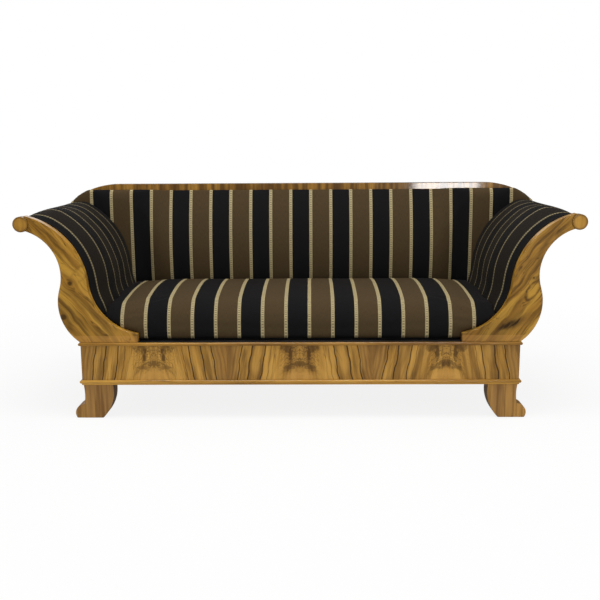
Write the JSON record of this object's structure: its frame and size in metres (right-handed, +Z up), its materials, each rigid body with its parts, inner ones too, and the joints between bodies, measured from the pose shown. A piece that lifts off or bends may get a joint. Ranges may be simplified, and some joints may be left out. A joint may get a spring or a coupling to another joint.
{
  "type": "sofa",
  "caption": "Long wooden sofa with S-scrolled arm facades, scrolled feet, a padded back under a shaped crest and a loose upholstered seat that lifts out.",
  "frame": {"origin": "on the floor under the middle of the whole outline", "axes": "+X along the sofa to the right as one faces it, +Y to the back, +Z up"},
  "size_m": [2.2018, 0.7584, 0.8991],
  "materials": {
    "walnut_veneer": "polished",
    "pine_core": "sawn",
    "beech_frame": "planed",
    "striped_fabric": "woven stripes",
    "black_cloth": "plain weave",
    "jute_webbing": "woven strap",
    "hessian": "open weave"
  },
  "bodies": {
    "frame": {"arm_base_rail_left": "beech_frame", "arm_base_rail_right": "beech_frame", "arm_facade_left": "walnut_veneer", "arm_facade_right": "walnut_veneer", "arm_outer_panel_left": "striped_fabric", "arm_outer_panel_right": "striped_fabric", "arm_pad_left": "striped_fabric", "arm_pad_right": "striped_fabric", "arm_roundel_left": "walnut_veneer", "arm_roundel_right": "walnut_veneer", "arm_top_rail_left": "beech_frame", "arm_top_rail_right": "beech_frame", "arm_webbing_left": "jute_webbing", "arm_webbing_right": "jute_webbing", "back_crest": "walnut_veneer", "back_muntin_left": "beech_frame", "back_muntin_right": "beech_frame", "back_pad": "striped_fabric", "back_rail": "beech_frame", "back_rear_cloth": "black_cloth", "back_stile_left": "beech_frame", "back_stile_right": "beech_frame", "back_webbing": "jute_webbing", "base_moulding_front": "walnut_veneer", "base_moulding_left": "walnut_veneer", "base_moulding_right": "walnut_veneer", "corner_block_front_left": "pine_core", "corner_block_front_right": "pine_core", "corner_block_rear_left": "pine_core", "corner_block_rear_right": "pine_core", "cross_rail_left": "pine_core", "cross_rail_right": "pine_core", "front_leg_left": "walnut_veneer", "front_leg_right": "walnut_veneer", "front_rail": "pine_core", "front_veneer": "walnut_veneer", "leg_dowels": "beech_frame", "rail_bead_front": "walnut_veneer", "rail_bead_left": "walnut_veneer", "rail_bead_right": "walnut_veneer", "rear_leg_left": "walnut_veneer", "rear_leg_right": "walnut_veneer", "rear_rail": "pine_core", "seat_bearer_front": "pine_core", "seat_bearer_rear": "pine_core", "side_rail_left": "walnut_veneer", "side_rail_right": "walnut_veneer", "toe_scroll_left": "walnut_veneer", "toe_scroll_right": "walnut_veneer"},
    "seat": {"seat_frame_cross_left": "beech_frame", "seat_frame_cross_right": "beech_frame", "seat_frame_front": "beech_frame", "seat_frame_rear": "beech_frame", "seat_frame_side_left": "beech_frame", "seat_frame_side_right": "beech_frame", "seat_hessian": "hessian", "seat_pad": "striped_fabric", "seat_webbing": "jute_webbing"}
  },
  "joints": [
    {"name": "seat_lift", "type": "slide", "parent": "frame", "child": "seat", "axis": [0, 0, 1], "range_m": [0, 0.45]}
  ]
}
